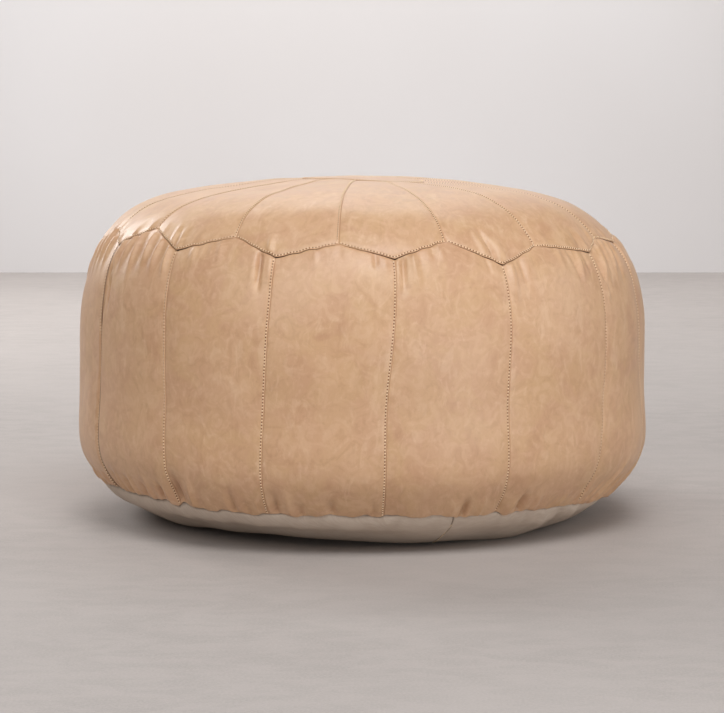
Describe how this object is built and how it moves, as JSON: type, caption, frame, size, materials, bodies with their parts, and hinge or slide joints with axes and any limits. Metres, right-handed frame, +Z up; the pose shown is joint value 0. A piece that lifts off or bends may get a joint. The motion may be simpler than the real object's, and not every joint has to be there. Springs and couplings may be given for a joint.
{
  "type": "pouf",
  "caption": "Round leather floor pouf with a sewn star crown, upright side panels and a canvas base closed by a zip.",
  "frame": {"origin": "centre of the flat face that the pouf rests on", "axes": "+Z up; -Y is the front that faces the viewer; +X to the right of that view"},
  "size_m": [0.6002, 0.6002, 0.358],
  "materials": {
    "leather": "satin, mottled",
    "canvas": "plain weave",
    "thread": "waxed",
    "bag_cloth": "matt",
    "filling": "matt",
    "zip_tape": "woven",
    "zip_metal": "satin"
  },
  "bodies": {
    "pouf": {"crown_medallion": "leather", "crown_panel_01": "leather", "crown_panel_02": "leather", "crown_panel_03": "leather", "crown_panel_04": "leather", "crown_panel_05": "leather", "crown_panel_06": "leather", "crown_panel_07": "leather", "crown_panel_08": "leather", "crown_panel_09": "leather", "crown_panel_10": "leather", "crown_panel_11": "leather", "crown_panel_12": "leather", "crown_panel_13": "leather", "crown_panel_14": "leather", "crown_panel_15": "leather", "crown_panel_16": "leather", "side_panel_01": "leather", "side_panel_02": "leather", "side_panel_03": "leather", "side_panel_04": "leather", "side_panel_05": "leather", "side_panel_06": "leather", "side_panel_07": "leather", "side_panel_08": "leather", "side_panel_09": "leather", "side_panel_10": "leather", "side_panel_11": "leather", "side_panel_12": "leather", "side_panel_13": "leather", "side_panel_14": "leather", "side_panel_15": "leather", "side_panel_16": "leather", "base_half_left": "canvas", "base_half_right": "canvas", "thread_medallion": "thread", "thread_crown_seams": "thread", "thread_zigzag_seam": "thread", "thread_side_seams": "thread", "thread_base_seam": "thread", "thread_zip": "thread", "inner_bag_top": "bag_cloth", "inner_bag_side": "bag_cloth", "inner_bag_bottom": "bag_cloth", "filling": "filling", "zip_tape_left": "zip_tape", "zip_tape_right": "zip_tape", "zip_teeth_left": "zip_metal", "zip_teeth_right": "zip_metal", "zip_top_stops": "zip_metal", "zip_bottom_stop": "zip_metal"},
    "zip_slider": {"zip_slider": "zip_metal"},
    "zip_puller": {"zip_puller": "zip_metal"}
  },
  "joints": [
    {"name": "zip_slide", "type": "slide", "parent": "pouf", "child": "zip_slider", "axis": [-0.3173, 0.9483, 0], "range_m": [0, 0.27], "deforming": ["zip_teeth_left", "zip_teeth_right"]},
    {"name": "puller_hinge", "type": "hinge", "parent": "zip_slider", "child": "zip_puller", "pos_m": [0.04379, -0.13087, 0.0052], "axis": [-0.9483, -0.3173, 0], "range_deg": [0, 150]}
  ]
}
